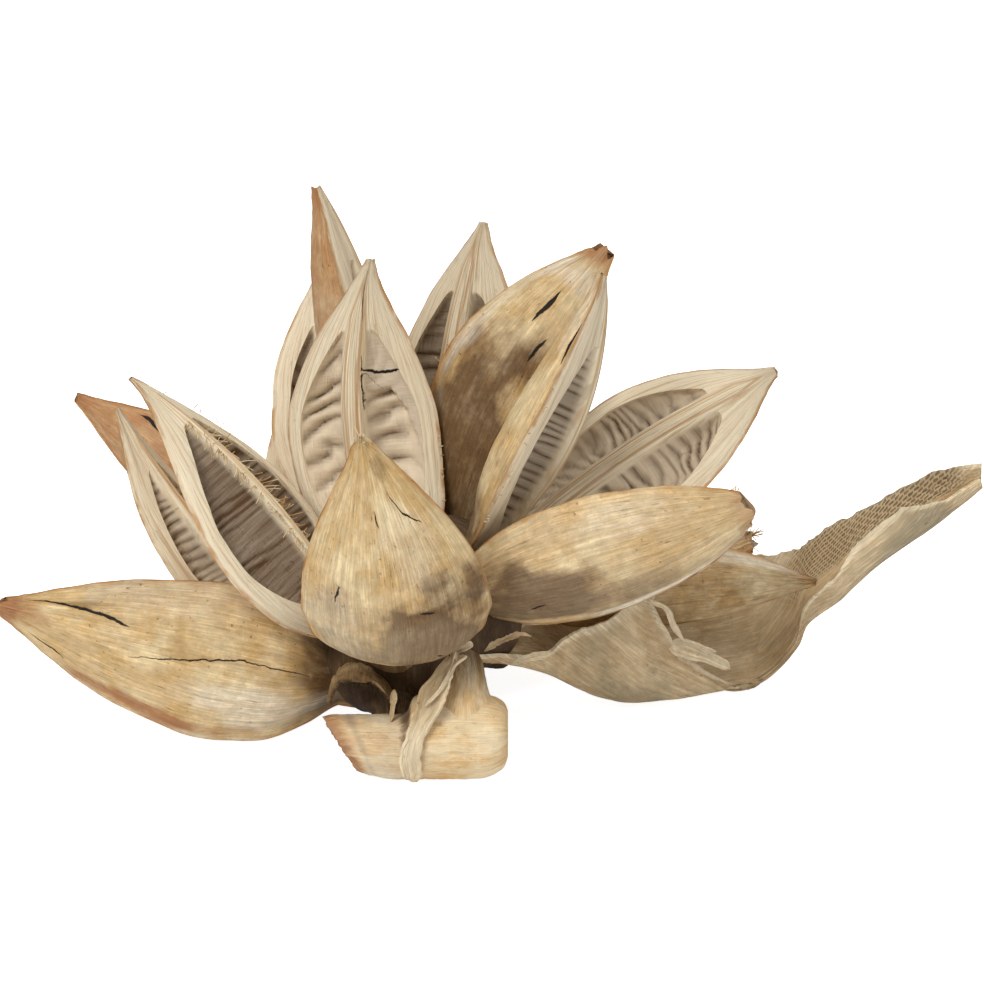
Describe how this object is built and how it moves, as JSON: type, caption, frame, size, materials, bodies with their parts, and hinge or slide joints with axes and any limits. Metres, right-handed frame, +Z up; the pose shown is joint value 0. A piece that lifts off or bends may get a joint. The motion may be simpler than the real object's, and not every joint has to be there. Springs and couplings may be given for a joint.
{
  "type": "dried seed pod cluster",
  "caption": "Star-shaped cluster of split woody seed capsules, bleached pale, on a short cut of flower stalk with a long boat-shaped bract.",
  "frame": {"origin": "middle of the flat foot under the cut stalk, on the plane that the part rests on", "axes": "+X to the right along the cut stalk, towards the bract's tip; -Y to the front, the side with the large closed valve; +Z up"},
  "size_m": [0.2852, 0.1782, 0.1432],
  "materials": {
    "capsule_wall": "matt, weathered and bleached",
    "stalk": "matt, dry and pithy",
    "bract": "matt, dry and fibrous"
  },
  "bodies": {
    "root": {"stalk": "stalk", "bract": "bract", "sheath": "bract", "bract_stub": "bract", "valve_left_low": "capsule_wall", "valve_left_middle": "capsule_wall", "valve_left_front": "capsule_wall", "valve_left_back": "capsule_wall", "valve_rear_tall": "capsule_wall", "valve_rear_left": "capsule_wall", "valve_centre": "capsule_wall", "valve_front": "capsule_wall", "valve_rear_middle": "capsule_wall", "valve_right_tall": "capsule_wall", "valve_right_narrow": "capsule_wall", "valve_right_middle": "capsule_wall", "valve_right_front": "capsule_wall", "valve_right_back": "capsule_wall", "valve_right_low": "capsule_wall", "valve_back_left": "capsule_wall", "valve_back_low": "capsule_wall", "valve_back_right": "capsule_wall"}
  },
  "joints": []
}
